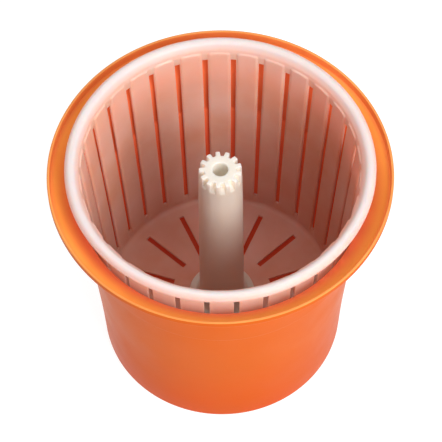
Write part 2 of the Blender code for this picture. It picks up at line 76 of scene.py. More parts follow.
# Bowl; the radii are those of its inside
LIP_T = 2.4 * MM
LIP_DEPTH = 8.5 * MM     # height of the upright lip inside
LIP_FACE = 5.6 * MM      # and outside, down to where its lower corner starts
LIP_CORNER = 3.6 * MM
LIP_EDGE = 0.9 * MM      # rounding of its top
WALL = 2.4 * MM
FLARE = 1.28             # 1 would make the collar a quarter of an ellipse, 2 a straight chamfer
NECK_R, NECK_Z = 136.8 * MM, RIM_Z - 35.5 * MM     # where the collar turns into the wall
STEP_R, STEP_Z = 130.9 * MM, RIM_Z - 89 * MM       # just below the stacking step
STEP_OUT = 2.2 * MM
STEP_HALF = 1.1 * MM     # half of the step's height
STEP_EASE = 1.5 * MM
KNEE_R, KNEE_Z = 122.4 * MM, 60 * MM
KNEE_EASE = 25 * MM
BASE_R = 120.1 * MM
FLOOR_Z = 5 * MM
DISH_R, DISH = 60 * MM, 0.6 * MM     # a shallow dish in the middle of the floor
FOOT_R = 104 * MM        # inner edge of the ring that the bowl stands on
RECESS = 2 * MM          # depth of its underside inside that ring
BOSS_R, BOSS_TOP_R, BOSS_Z = 15 * MM, 12 * MM, 22 * MM
BOSS_SPREAD = 4 * MM
PIN_HOLE_R, PIN_HOLE_Z = 4.3 * MM, 6 * MM

# Basket
BASKET_WALL = 1.7 * MM
BASKET_FLOOR_T = 2.5 * MM
BASKET_TAPER = math.tan(math.radians(3.8))
HEEL = 7 * MM            # outside rounding between floor and wall
HEEL_EXTRA = 0.8 * MM    # how much thicker the wall is at the floor
SLOTS = 30
SLOT_PHASE = math.radians(-5.85)
SLOT_HALF = 2.6 * MM
SLOT_FOOT, SLOT_TOP = 50 * MM, RIM_Z - 4.5 * MM
SLOT_TOP_R = 134.6 * MM  # outside radius of the wall there
SLOT_SHARE = (0.81, 0.13, 0.14)      # width at its foot, what it gains evenly and near its top
FLOOR_SLOT_IN, FLOOR_SLOT_OUT = 52 * MM, 104 * MM
PAD = 1.1 * MM           # height of the raised panels between the slots
PAD_EDGE = 1.1 * MM      # width of the slope at a panel's top and bottom
PAD_SIDE = 2.2 * MM      # and along its sides
PAD_CORNER = 4 * MM
PAD_FOOT, PAD_TOP = 43 * MM, RIM_Z + 6 * MM
SPREAD_FOOT, SPREAD_H = RIM_Z + 2 * MM, 9 * MM     # where the wall bends out into the rim
SPREAD, SPREAD_OUTSIDE = 1.6 * MM, 2.2             # how far inside, and times that outside
ROLL = (5.4 * MM, 5.0 * MM)          # half-axes of the rolled rim, outside and inside
ROLL_INSIDE = (3.5 * MM, 3.1 * MM)

# Where the basket's mesh has its rows and columns, in mm: radii of the floor, heights of the wall,
# the same from the slots' and the panels' top, and offsets from the middle of a slot
FLOOR_ROWS = (10.6, 14, 20, 30, 34, 40, 46, 49, 52, 58, 70, 85, 98, 104, 107)
WALL_FOOT_ROWS = (43.5, 45, 46, 47, 48.5, 50)
SLOT_TOP_ROWS = (-4, 0, 1.2, 3, 5, 6.5)
PAD_TOP_ROWS = (-3.0, -2.2, -1.5, -0.9, -0.4, 0, 0.5)
BESIDE_SLOT = (2.6, 3.0, 3.5, 4.3, 6.2)
IN_SLOT = (-1.3, 0.0, 1.3)
BETWEEN_SLOTS = (-2.6, 0.0, 2.6)

# Pinion and column
TEETH = 13
TIP_R, ROOT_R = 20.5 * MM, 15.7 * MM
TOOTH_SHARES = (0.19, 0.31)          # half of a tooth's tip and of its root, in shares of the pitch
TOOTH_TOP = ((1.5, 0.0), (0.85, 0.13), (0.35, 0.45), (0.1, 0.9), (0.0, 1.5))    # inset and drop, mm
PINION_PHASE = math.radians(-6.8)
TOOTH_H = 14 * MM
TOOTH_DRAFT = 0.03
FADE = 8 * MM            # length over which the gaps between the teeth run out
COLUMN_R, COLUMN_FOOT_R = 20.9 * MM, 22.8 * MM
FLANGE_R, FLANGE_T = high("drive_pinion").x, 4.7 * MM
BORE_R, BORE_DEPTH = 7.4 * MM, 45 * MM
POCKET_R, POCKET_TOP = 15.5 * MM, 52.3 * MM        # room for the bearing in the column's foot
HOLLOW_R, HOLLOW_TOP = 13 * MM, 205 * MM
BEARING_COLLAR_R, BEARING_SHOULDER = 10 * MM, 36.3 * MM

# Gear; the heights are above its underside
GEAR_TEETH = 39
GEAR_TIP, GEAR_ROOT = 57.1 * MM, 52.6 * MM
GEAR_SHARES = (0.16, 0.32)
GEAR_H, WEB_LOW, WEB_TOP = 12 * MM, 4 * MM, 7 * MM
GEAR_HUB_R, WEB_IN, WEB_OUT, GEAR_RING_R = 13 * MM, 13.4 * MM, 46.4 * MM, 46.8 * MM
SHAFT_HOLE = 6.3 * MM

# Screws: radius and height of the head, radius of the shank
GUARD_SCREW = (3.5 * MM, 2 * MM, 1.5 * MM)
COLUMN_SCREW = (3.8 * MM, 2.2 * MM, 1.6 * MM)
CRANK_SCREW = (5.5 * MM, 3.2 * MM, 2 * MM)
KNOB_SCREW = (6.5 * MM, 2.4 * MM, 1.8 * MM)
PAN_HEAD = ((0.66, 0.0), (0.8, 0.1), (0.93, 0.3), (1.0, 0.62), (1.0, 0.96), (0.97, 1.0))    # in shares
PITCH = 0.7 * MM

# Lid
LID_TOP, LID_T = 34 * MM, 2.4 * MM
GROOVES = ((26, 31, 1, 0.8, 1), (124, 134, 2, 1.2, 1.5))     # from and to, slope, depth, rounding, mm
SKIRT_R, SKIRT_LEAN = 155 * MM, 1 * MM
BRIM, BRIM_EDGE, BRIM_INSIDE = 5 * MM, 3.5 * MM, 4 * MM      # heights of the brim round the skirt's foot
BOSS_HOLE, CRANK_BOSS_R, BOSS_PAD_R, BOSS_SUNK = 6.4 * MM, 11.6 * MM, 16 * MM, 5 * MM
STEADY_TOP = LID_TOP - 2.9 * MM
STEADY_R = 6.9 * MM
SPIGOT_R, SPIGOT_H = 4 * MM, 2.6 * MM
STEADY_FLANGE_R, STEADY_FLANGE_T = 14 * MM, 2.5 * MM

# Crank and knob; each head and hole is a radius and a length
ARM_HUB_R, ARM_END_R = 13 * MM, 10 * MM
ARM_EDGE = ((2.0, 0.0), (0.6, 0.15), (0.0, 0.9), (0.0, 6.0), (0.5, 7.4), (1.5, 8.0), (3.4, 8.0),
            (3.9, 7.0), (4.4, 6.8))  # inset and height, mm, round its edge and into the dish in its top
HUB_BOSS_R, HUB_BOSS_FOOT = 11.6 * MM, 6 * MM
END_BOSS_R, END_BOSS_FOOT, END_BOSS_TOP = 7.6 * MM, 5 * MM, 8.4 * MM
SHAFT_R, SHAFT_HEAD, SHAFT_THREAD = 6 * MM, (10 * MM, 1.5 * MM), (2.3 * MM, 14 * MM)
PIN_R, PIN_HEAD, PIN_THREAD = 3.9 * MM, (6.5 * MM, 1.7 * MM), (2.1 * MM, 10 * MM)
KNOB_R, KNOB_TOP_R, KNOB_WAIST_R, KNOB_FOOT_R = 15 * MM, 12.6 * MM, 11.5 * MM, 13 * MM
KNOB_HOLE = 4.2 * MM
KNOB_RECESS_R, KNOB_RECESS = 9 * MM, 9 * MM
CAP_R = 8.7 * MM


def basket_r(z):
    """Outside radius of the basket's wall."""
    return SLOT_TOP_R - BASKET_TAPER * (SLOT_TOP - z)


# ---------------------------------------------------------------- meshes

def make(name, verts, faces, mat, body, nodes=(), sharp=40):
    """A smooth-shaded piece that rides on a body and stands for CAD nodes."""
    mesh = bpy.data.meshes.new(name)
    mesh.from_pydata([tuple(v) for v in verts], [], faces)
    mesh.validate()
    work = bmesh.new()
    work.from_mesh(mesh)
    bmesh.ops.recalc_face_normals(work, faces=work.faces)
    work.to_mesh(mesh)
    work.free()
    mesh.shade_smooth()
    mesh.set_sharp_from_angle(angle=math.radians(sharp))
    obj = bpy.data.objects.new(name, mesh)
    bpy.context.scene.collection.objects.link(obj)
    mesh.materials.append(mat)
    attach(obj, body)
    if nodes:
        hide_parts(*nodes)
    return obj


def loft(rings, closed=False):
    """Faces between rings of points; a ring of one point is a pole, and open ends are capped."""
    verts, starts = [], []
    for ring in rings:
        starts.append(len(verts))
        verts.extend(ring)
    faces = []
    count = len(rings)
    for i in range(count if closed else count - 1):
        j = (i + 1) % count
        a, b = starts[i], starts[j]
        na, nb = len(rings[i]), len(rings[j])
        for k in range(max(na, nb)):
            m = (k + 1) % max(na, nb)
            if na == 1:
                faces.append((a, b + k, b + m))
            elif nb == 1:
                faces.append((a + k, b, a + m))
            else:
                faces.append((a + k, b + k, b + m, a + m))
    if not closed:
        for i in (0, count - 1):
            if len(rings[i]) > 1:
                faces.append(tuple(range(starts[i], starts[i] + len(rings[i]))))
    return verts, faces


def rounded(corners, closed=False, steps=5):
    """A path through (r, z, rounding) corners, each corner eased over its rounding length."""
    path = []
    count = len(corners)
    for i, (r, z, soft) in enumerate(corners):
        here = Vector((r, z))
        if soft == 0 or (not closed and i in (0, count - 1)):
            path.append((r, z))
            continue
        before = Vector(corners[i - 1][:2]) - here
        after = Vector(corners[(i + 1) % count][:2]) - here
        start = here + before.normalized() * min(soft, before.length * 0.48)
        end = here + after.normalized() * min(soft, after.length * 0.48)
        for s in range(steps + 1):
            t = s / steps
            point = start * (1 - t) ** 2 + here * 2 * t * (1 - t) + end * t ** 2
            path.append((point.x, point.y))
    return path


def turn(path, sides, at=(0.0, 0.0)):
    """Rings of a path of (r, z) turned about a vertical axis."""
    rings = []
    for r, z in path:
        if r < 1e-7:
            rings.append([(at[0], at[1], z)])
        else:
            turns = [TAU * k / sides for k in range(sides)]
            rings.append([(at[0] + r * math.cos(a), at[1] + r * math.sin(a), z) for a in turns])
    return rings


def turned(name, corners, mat, body, nodes=(), at=(0.0, 0.0), sides=SMALL, steps=5):
    """A turned piece from (r, z, rounding) corners; it is closed unless it meets its axis."""
    closed = corners[0][0] > 0 and corners[-1][0] > 0
    rings = turn(rounded(corners, closed, steps), sides, at)
    verts, faces = loft(rings, closed)
    return make(name, verts, faces, mat, body, nodes)


def arc(centre, radii, start, end, steps):
    return [(centre[0] + radii[0] * math.cos(a), centre[1] + radii[1] * math.sin(a))
            for a in np.radians(np.linspace(start, end, steps + 1))]


def flare(centre, radii, start, end, steps):
    """The collar's curve: an arc drawn in towards its chord."""
    (r, z), (reach, rise) = centre, radii
    return [(r - reach * abs(math.cos(a)) ** FLARE, z + rise * math.sin(a) ** FLARE)
            for a in np.radians(np.linspace(start, end, steps + 1))]


def ease(x):
    """0 below 0, 1 above 1, smooth between."""
    x = min(max(x, 0.0), 1.0)
    return x * x * (3 - 2 * x)


def plain(path):
    """A path's points as unrounded corners."""
    return [(r, z, 0) for r, z in path]


# ---------------------------------------------------------------- materials

class Nodes:
    """A material's node tree, with short calls to add and link nodes."""

    def __init__(self, name):
        self.mat = bpy.data.materials.new(name)
        self.mat.use_nodes = True
        self.tree = self.mat.node_tree
        self.shader = self.tree.nodes["Principled BSDF"]
        self.coords = self.tree.nodes.new("ShaderNodeTexCoord").outputs["Object"]

    def add(self, kind, **values):
        node = self.tree.nodes.new(kind)
        for key, value in values.items():
            if key in node.inputs:
                node.inputs[key].default_value = value
            else:
                setattr(node, key, value)
        return node

    def link(self, source, target):
        self.tree.links.new(source, target)
        return target

    def noise(self, scale, detail=3.0, stretch=(1, 1, 1)):
        place = self.add("ShaderNodeMapping")
        place.inputs["Scale"].default_value = stretch
        self.link(self.coords, place.inputs["Vector"])
        node = self.add("ShaderNodeTexNoise", Scale=scale, Detail=detail)
        self.link(place.outputs["Vector"], node.inputs["Vector"])
        return node.outputs["Fac"]

    def ramp(self, source, stops):
        node = self.add("ShaderNodeValToRGB")
        marks = node.color_ramp.elements
        while len(marks) < len(stops):
            marks.new(0.5)
        for mark, (where, colour) in zip(marks, stops):
            mark.position = where
            mark.color = (*colour, 1.0)
        self.link(source, node.inputs["Fac"])
        return node.outputs["Color"]

    def span(self, source, start, end, to_start, to_end):
        node = self.add("ShaderNodeMapRange")
        keys = ("From Min", "From Max", "To Min", "To Max")
        for key, value in zip(keys, (start, end, to_start, to_end)):
            node.inputs[key].default_value = value
        self.link(source, node.inputs["Value"])
        return node.outputs["Result"]

    def mix(self, fac, a, b):
        node = self.add("ShaderNodeMix", data_type="RGBA")
        sockets = [s for s in node.inputs if s.type == "RGBA"]
        for socket, value in zip(sockets, (a, b)):
            if isinstance(value, tuple):
                socket.default_value = (*value, 1.0)
            else:
                self.link(value, socket)
        factor = node.inputs[0]
        if isinstance(fac, (int, float)):
            factor.default_value = fac
        else:
            self.link(fac, factor)
        return [s for s in node.outputs if s.type == "RGBA"][0]

    def math(self, operation, a, b):
        node = self.add("ShaderNodeMath", operation=operation)
        for socket, value in zip(node.inputs, (a, b)):
            if isinstance(value, (int, float)):
                socket.default_value = value
            else:
                self.link(value, socket)
        return node.outputs["Value"]

    def height(self):
        split = self.add("ShaderNodeSeparateXYZ")
        self.link(self.coords, split.inputs["Vector"])
        return split.outputs["Z"]

    def radius(self):
        """Distance from the bowl's axis."""
        flat = self.add("ShaderNodeVectorMath", operation="MULTIPLY")
        self.link(self.coords, flat.inputs[0])
        flat.inputs[1].default_value = (1, 1, 0)
        length = self.add("ShaderNodeVectorMath", operation="LENGTH")
        self.link(flat.outputs["Vector"], length.inputs[0])
        return length.outputs["Value"]

    def path(self, source, corners):
        """A value that follows straight lines through (source, value) corners."""
        total = corners[0][1]
        for (a, start), (b, end) in zip(corners, corners[1:]):
            total = self.math("ADD", self.span(source, a, b, 0.0, end - start), total)
        return total


def moulded(name, colour, rough, scatter, reach_mm=(6, 3, 2), gloss=0.5, base=None):
    """Moulded plastic: fine skin, uneven sheen, faint rubbed marks and lighter colour on sharp edges.

    rough is the range of the roughness, scatter the share of light that goes in and reach_mm how far
    its red, green and blue get. base(nodes) may give a colour socket in place of the flat colour.
    """
    n = Nodes(name)
    flat = base(n) if base else colour
    cloud = n.noise(14, 4)
    shade = tuple(c * 0.90 for c in colour)
    body = n.mix(n.span(cloud, 0.3, 0.7, 0.0, 0.35), flat, shade)
    pointed = n.add("ShaderNodeNewGeometry").outputs["Pointiness"]
    edge = n.span(pointed, 0.54, 0.62, 0.0, 0.18)
    body = n.mix(edge, body, tuple(min(c * 1.15 + 0.03, 1) for c in colour))
    n.link(body, n.shader.inputs["Base Color"])
    rubs = n.noise(90, 5, (1.0, 1.0, 7.0))
    haze = n.noise(22, 3)
    low_rough, high_rough = rough
    uneven = n.span(haze, 0.3, 0.7, low_rough, high_rough)
    mixed = n.add("ShaderNodeMath", operation="MULTIPLY_ADD")
    n.link(n.span(rubs, 0.45, 0.75, 0.0, 1.0), mixed.inputs[0])
    mixed.inputs[1].default_value = 0.03
    n.link(uneven, mixed.inputs[2])
    n.link(mixed.outputs["Value"], n.shader.inputs["Roughness"])
    skin = n.add("ShaderNodeBump", Strength=0.12, Distance=0.0002)
    n.link(n.noise(1400, 2), skin.inputs["Height"])
    flow = n.add("ShaderNodeBump", Strength=0.02, Distance=0.001)
    n.link(n.noise(20, 1), flow.inputs["Height"])
    n.link(skin.outputs["Normal"], flow.inputs["Normal"])
    n.link(flow.outputs["Normal"], n.shader.inputs["Normal"])
    n.shader.inputs["IOR"].default_value = 1.49
    n.shader.inputs["Specular IOR Level"].default_value = gloss
    n.shader.inputs["Subsurface Weight"].default_value = scatter
    n.shader.inputs["Subsurface Radius"].default_value = reach_mm
    n.shader.inputs["Subsurface Scale"].default_value = MM
    return n.mat


def steel(name):
    """Turned stainless steel with fine lathe marks and smudges."""
    n = Nodes(name)
    marks = n.noise(160, 3, (1.0, 1.0, 14.0))
    smudge = n.noise(60, 3)
    n.link(n.ramp(smudge, ((0.3, (0.46, 0.46, 0.47)), (0.7, (0.62, 0.62, 0.63)))),
           n.shader.inputs["Base Color"])
    n.shader.inputs["Metallic"].default_value = 1.0
    n.link(n.span(smudge, 0.3, 0.7, 0.22, 0.36), n.shader.inputs["Roughness"])
    bump = n.add("ShaderNodeBump", Strength=0.15, Distance=0.0001)
    n.link(marks, bump.inputs["Height"])
    n.link(bump.outputs["Normal"], n.shader.inputs["Normal"])
    return n.mat


ORANGE = (0.62, 0.106, 0.003)
BASE_SHADE_ORANGE = (0.61, 0.074, 0.003)      # the bowl outside, near its base: painted shade, darker towards the base
LIT = (1.0, 0.22, 0.085)         # inside under the collar, with light coming through
DIM = (0.74, 0.10, 0.045)        # and further down
COLLAR_LIGHT = (0.97, 0.36, 0.07)       # the collar inside: painted light, brighter and yellower where light comes through
FACE = (1.0, 0.31, 0.09)         # the lip's inside face, brightened with painted light
LIP_HIGHLIGHT = (0.97, 0.43, 0.13)       # painted highlight along the lip's thin top edge
BOWL_GLOW = 0.11                 # strength of the light that comes through the bowl
MILKY = (0.92, 0.73, 0.705)      # the basket's rim
ORANGE_LIGHT_AND_SHADE = (0.62, 0.29, 0.19)        # its wall low down: painted orange light from the bowl, and painted shade
RIM_EDGE_LIGHT = (0.96, 0.49, 0.42)        # its rim's outer edge, next to the bowl's lip: painted orange light from the lip
OUTER_SKIN_SHADE = (0.54, 0.51, 0.44)  # its wall outside, darker than the rim: painted shade of the gap between basket and bowl
SKIN_GLOW = (0.68, 0.38, 0.29)   # light that comes through the wall near the rim
OFF_WHITE = (0.80, 0.745, 0.675)
COLUMN_SHADE = (0.66, 0.61, 0.52)     # the column below the teeth, darker: painted shade
BORE_GLOW = (1.0, 0.84, 0.64)        # light that comes through into the bore and the gaps


def bowl_colour(n):
    """Painted light through the bowl: its inside glows, the collar turns amber; a painted highlight on
    the lip's edge.
    """
    z, r = n.height(), n.radius()
    shelf, half = RIM_Z - LIP_DEPTH, WALL / 2
    corners = [(0.0, BASE_R + half), (KNEE_Z, KNEE_R + half), (STEP_Z - 1 * MM, STEP_R + half),
               (STEP_Z + 1 * MM, STEP_R + STEP_OUT + half)]
    shelf_r = RIM_R - LIP_T
    bell = flare((shelf_r, NECK_Z), (shelf_r - NECK_R - half, shelf - NECK_Z - half), 180, 96, 8)
    middle = n.path(z, corners + [(height, reach) for reach, height in bell])
    inside = n.math("MULTIPLY", n.span(n.math("SUBTRACT", r, middle), 0.3 * MM, -0.3 * MM, 0.0, 1.0),
                    n.span(z, 3 * MM, 4 * MM, 0.0, 1.0))
    face = n.math("MULTIPLY", n.span(r, RIM_R - 0.9 * MM, RIM_R - 1.9 * MM, 0.0, 1.0),
                  n.span(z, shelf - 6 * MM, shelf, 0.0, 1.0))
    collar = n.math("MULTIPLY", n.span(r, RIM_R - 3.2 * MM, RIM_R - 7 * MM, 0.0, 1.0),
                    n.span(z, shelf - 12 * MM, shelf - 0.5 * MM, 0.0, 1.0))
    # painted shade: the outside darker towards its base
    outer = n.mix(n.span(z, 0.0, 120 * MM, 0.0, 1.0), BASE_SHADE_ORANGE, ORANGE)
    lit = n.mix(n.span(z, NECK_Z - 100 * MM, NECK_Z + 5 * MM, 0.0, 1.0), DIM, LIT)
    # painted light on the lip's inside face
    body = n.mix(face, n.mix(inside, outer, lit), FACE)
    # painted light: the collar amber and brighter
    body = n.mix(collar, body, COLLAR_LIGHT)
    # painted highlight along the lip's top edge
    painted_highlight = n.span(z, RIM_Z - 0.9 * MM, RIM_Z - 0.2 * MM, 0.0, 0.75)
    body = n.mix(painted_highlight, body, LIP_HIGHLIGHT)
    lit_from_behind = n.math("MAXIMUM", n.math("MAXIMUM", inside, n.math("MULTIPLY", face, 0.8)),
                             n.math("MULTIPLY", collar, 1.5))
    n.link(body, n.shader.inputs["Emission Color"])
    n.link(n.math("MULTIPLY", lit_from_behind, BOWL_GLOW), n.shader.inputs["Emission Strength"])
    return body


def basket_colour(n):
    """Painted bowl light on the milky wall, more lower down, where it is also painted darker, and at the
    rim's outer edge.
    """
    foot = 40 * MM
    # painted orange light from the bowl and painted shade, darkest and most orange low down
    stops = ((foot, ORANGE_LIGHT_AND_SHADE), (RIM_Z - 90 * MM, ORANGE_LIGHT_AND_SHADE), (RIM_Z - 40 * MM, (0.71, 0.33, 0.215)),
             (RIM_Z - 12 * MM, (0.87, 0.41, 0.28)), (RIM_Z - 1 * MM, (0.92, 0.44, 0.31)),
             (RIM_Z + 8 * MM, (0.95, 0.50, 0.40)), (RIM_Z + 13.5 * MM, MILKY))
    share = n.span(n.height(), foot, BASKET_TOP, 0.0, 1.0)
    wall = n.ramp(share, tuple(((z - foot) / (BASKET_TOP - foot), colour) for z, colour in stops))
    z, r = n.height(), n.radius()
    skin = n.math("ADD", n.math("MULTIPLY", z, BASKET_TAPER), basket_r(0.0))
    outside = n.math("MULTIPLY", n.span(n.math("SUBTRACT", r, skin), -0.6 * MM, -0.3 * MM, 0.0, 1.0),
                     n.span(z, RIM_Z + 9 * MM, RIM_Z + 7.5 * MM, 0.0, 1.0))
    # painted shade on the wall outside, in the gap between basket and bowl
    wall = n.mix(outside, wall, OUTER_SKIN_SHADE)
    glow = n.math("MULTIPLY", n.span(z, RIM_Z + 6 * MM, RIM_Z - 8 * MM, 0.0, 0.37),
                  n.span(z, RIM_Z - 60 * MM, RIM_Z - 12 * MM, 0.0, 1.0))
    n.shader.inputs["Emission Color"].default_value = (*SKIN_GLOW, 1.0)
    n.link(n.math("MULTIPLY", outside, glow), n.shader.inputs["Emission Strength"])
    # painted orange light from the bowl's lip on the rim's outer edge
    edge = n.span(r, BASKET_R - 4.5 * MM, BASKET_R - 1 * MM, 0.0, 1.0)
    return n.mix(edge, wall, RIM_EDGE_LIGHT)


def pinion_colour(n):
    """Light comes through the pinion into its bore and between its teeth; painted shade darkens the
    column.
    """
    z, r = n.height(), n.radius()
    bore = n.math("MULTIPLY", n.span(r, 8.0 * MM, 7.6 * MM, 0.0, 1.0),
                  n.span(z, PINION_TOP - 3 * MM, PINION_TOP - 14 * MM, 0.0, 0.11))
    gap = n.math("MULTIPLY", n.span(r, TIP_R - 1 * MM, ROOT_R + 0.6 * MM, 0.0, 0.26),
                 n.span(z, PINION_TOP - 0.6 * MM, PINION_TOP - 2.5 * MM, 0.0, 1.0))
    wall = n.math("MULTIPLY", gap, n.span(r, ROOT_R - 1 * MM, ROOT_R - 0.5 * MM, 0.0, 1.0))
    n.shader.inputs["Emission Color"].default_value = (*BORE_GLOW, 1.0)
    n.link(n.math("ADD", bore, wall), n.shader.inputs["Emission Strength"])
    # painted shade: the column below the teeth darker
    below = n.span(z, PINION_TOP - 12 * MM, PINION_TOP - 1 * MM, 1.0, 0.0)
    return n.mix(n.math("MULTIPLY", below, n.span(r, 60 * MM, 50 * MM, 0.0, 1.0)), OFF_WHITE, COLUMN_SHADE)


MATERIALS = {
    "orange_pp": moulded("orange_pp", ORANGE, (0.30, 0.40), 0.12, gloss=0.035, base=bowl_colour),
    "lid_pp": moulded("lid_pp", ORANGE, (0.30, 0.40), 0.12, gloss=0.025),
    "milky_pp": moulded("milky_pp", MILKY, (0.30, 0.42), 0.9, (9, 5, 3.5), 0.35, basket_colour),
    "off_white_pp": moulded("off_white_pp", OFF_WHITE, (0.38, 0.50), 1.0, (10, 8.5, 7),
                            base=pinion_colour),
    "crank_pp": moulded("crank_pp", OFF_WHITE, (0.34, 0.44), 0.1),
    "acetal": moulded("acetal", OFF_WHITE, (0.28, 0.36), 0.1),
    "stainless": steel("stainless"),
}


# ---------------------------------------------------------------- bowl

def build_bowl():
    shelf_r, shelf_z = RIM_R - LIP_T, RIM_Z - LIP_DEPTH
    reach, drop = shelf_r - NECK_R, shelf_z - NECK_Z
    step_r, step_low, step_high = STEP_R + STEP_OUT, STEP_Z - STEP_HALF, STEP_Z + STEP_HALF
    inside = [(0, PIN_HOLE_Z, 0), (PIN_HOLE_R, PIN_HOLE_Z, 0), (PIN_HOLE_R, BOSS_Z, 0.4 * MM),
              (BOSS_TOP_R, BOSS_Z, 2 * MM), (BOSS_R, FLOOR_Z + BOSS_SPREAD, 2 * MM),
              (BOSS_R + BOSS_SPREAD, FLOOR_Z, 3 * MM), (DISH_R, FLOOR_Z, 1 * MM),
              (DISH_R + 1 * MM, FLOOR_Z + DISH, 1 * MM), (BASE_R, FLOOR_Z + DISH, 4.5 * MM),
              (KNEE_R, KNEE_Z, KNEE_EASE), (STEP_R, step_low, STEP_EASE), (step_r, step_high, STEP_EASE)]
    inside += plain(flare((shelf_r, NECK_Z), (reach, drop), 180, 94, 26))
    inside += [(shelf_r - 0.6 * MM, shelf_z, 3.2 * MM), (shelf_r, RIM_Z, LIP_EDGE)]
    outside = [(RIM_R, RIM_Z, LIP_EDGE)]
    outside += plain(arc((RIM_R - LIP_CORNER, RIM_Z - LIP_FACE), (LIP_CORNER, LIP_CORNER), 0, -72, 8))
    outside += plain(flare((shelf_r, NECK_Z), (reach - WALL, drop - WALL), 104, 180, 22))
    outside += [(step_r + WALL, step_high, STEP_EASE), (STEP_R + WALL, step_low, STEP_EASE),
                (KNEE_R + WALL, KNEE_Z, KNEE_EASE), (BASE_R + WALL, 0, 5 * MM), (FOOT_R, 0, 1 * MM),
                (FOOT_R - RECESS, RECESS, 1 * MM), (BOSS_R + RECESS, RECESS, 1 * MM), (BOSS_R, 0, 1 * MM),
                (0, 0, 0)]
    turned("bowl_shell", inside + outside, MATERIALS["orange_pp"], "bowl", ["outer_bowl"],
           sides=FINE)
    foot, top = low("pivot_pin").z, high("pivot_pin").z
    pin_r = high("pivot_pin").x
    turned("spindle", [(0, top, 0), (pin_r, top, 2.5 * MM), (pin_r, foot, 0.4 * MM), (0, foot, 0)],
           MATERIALS["stainless"], "bowl", ["pivot_pin"])
    ring_piece("thrust_washer", "pivot_washer", "pivot", "acetal", PIN_HOLE_R, 0.5 * MM)


def round_edges(obj, width, above):
    """Bevel the edges that turn by more than an angle in degrees."""
    bevel = obj.modifiers.new("Edges", "BEVEL")
    bevel.width = width
    bevel.segments = 2
    bevel.limit_method = "ANGLE"
    bevel.angle_limit = math.radians(above)


def ring_piece(name, node, body, slot, bore, soft):
    """A plain ring with eased edges in the place of a CAD ring."""
    at = axis_of(node)
    bottom, top = low(node).z, high(node).z
    outer = high(node).x - at[0]
    corners = [(bore, top, soft), (outer, top, soft), (outer, bottom, soft), (bore, bottom, soft)]
    turned(name, corners, MATERIALS[slot], body, [node], at)


# ---------------------------------------------------------------- basket

def basket_columns():
    """Each column is a share of the pitch between slots, and an offset along the wall from there."""
    offsets = [-d for d in reversed(BESIDE_SLOT)] + list(IN_SLOT) + list(BESIDE_SLOT)
    return [(0.0, d * MM) for d in offsets] + [(0.5, d * MM) for d in BETWEEN_SLOTS]


def column_angle(share, offset, r, z):
    """Azimuth of a column at a radius and height; wall slots narrow downwards, floor slots do not."""
    if share == 0.0:
        up = (z - SLOT_FOOT) / (SLOT_TOP - SLOT_FOOT)
        up = min(max(up, 0.0), 1.0)
        foot, gain, late_gain = SLOT_SHARE
        offset *= foot + gain * up + late_gain * up ** 4
    full = basket_r(BASKET_FLOOR) if share == 0.0 else FLOOR_SLOT_IN
    return share * TAU / SLOTS + offset * min(1.0, r / full) / r


def basket_rows():
    """Matching points of the inner and outer skin, from the hole in the floor to the rim's edge."""
    rows = []
    for r in FLOOR_ROWS:
        rows.append(((r * MM, BASKET_FLOOR + BASKET_FLOOR_T), (r * MM, BASKET_FLOOR), "floor"))
    corner = (basket_r(BASKET_FLOOR) - HEEL, BASKET_FLOOR + HEEL)
    for angle in np.radians(np.linspace(-90, -4, 9)):
        out = (corner[0] + HEEL * math.cos(angle), corner[1] + HEEL * math.sin(angle))
        skin = HEEL - BASKET_WALL - HEEL_EXTRA * (1 - ease((math.degrees(angle) + 90) / 86))
        inn = (corner[0] + skin * math.cos(angle), corner[1] + skin * math.sin(angle))
        rows.append((inn, out, "heel"))
    heights = [d * MM for d in WALL_FOOT_ROWS]
    heights += list(np.linspace(SLOT_FOOT + 10 * MM, SLOT_TOP - 12 * MM, 13))
    heights += [SLOT_TOP + d * MM for d in SLOT_TOP_ROWS] + [PAD_TOP + d * MM for d in PAD_TOP_ROWS]
    for z in heights:
        spread = SPREAD * ease((z - SPREAD_FOOT) / SPREAD_H) ** 1.5
        out = basket_r(z) + spread * SPREAD_OUTSIDE
        rows.append(((basket_r(z) - BASKET_WALL + spread, z), (out, z), "wall"))
    return rows + rim_rows(rows[-1])


def rim_rows(last):
    """The rolled rim: the skins part from the wall, go over the top and end in a rounded edge."""
    (inner_r, inner_z), (outer_r, outer_z), _ = last
    roll = (BASKET_R - ROLL[0], BASKET_TOP - ROLL[1])
    inner = [(inner_r + 0.35 * MM, inner_z + 1.2 * MM), (inner_r + 0.95 * MM, inner_z + 2.6 * MM)]
    inner += arc(roll, ROLL, 158, -42, 22)
    under = arc(roll, ROLL_INSIDE, 150, -42, 21)
    outer = [(outer_r + 0.5 * MM, outer_z + 0.5 * MM), (outer_r + 1.0 * MM, outer_z + 0.9 * MM), under[0]]
    outer += under
    return [(a, b, "rim") for a, b in zip(inner, outer)]


def pad_rise(share, offset, r, z):
    """How far the raised panel stands in from the wall at a column and height."""
    pitch = TAU * r / SLOTS
    across = abs(offset) if share == 0.0 else pitch / 2 - abs(offset)
    side = across - SLOT_HALF
    cap = PAD_TOP - z
    if side < PAD_CORNER and cap < PAD_CORNER:
        depth = PAD_CORNER - math.hypot(PAD_CORNER - side, PAD_CORNER - cap)
    else:
        depth = min(side, cap)
    return PAD * min(ease(side / PAD_SIDE), ease(min(depth, z - PAD_FOOT) / PAD_EDGE))


def is_hole(row, nxt, column, following, sector):
    """True for a cell of a wall slot or a floor slot."""
    z = (row[0][1] + nxt[0][1]) / 2
    r = (row[0][0] + nxt[0][0]) / 2
    middle = (column[1] + following[1]) / 2
    narrow = column[0] == following[0] and abs(middle) < SLOT_HALF
    if row[2] == "wall" and nxt[2] == "wall":
        return narrow and column[0] == 0.0 and SLOT_FOOT < z < SLOT_TOP
    if row[2] == "floor" and nxt[2] == "floor":
        return narrow and column[0] == 0.5 and sector % 2 == 0 and FLOOR_SLOT_IN < r < FLOOR_SLOT_OUT
    return False


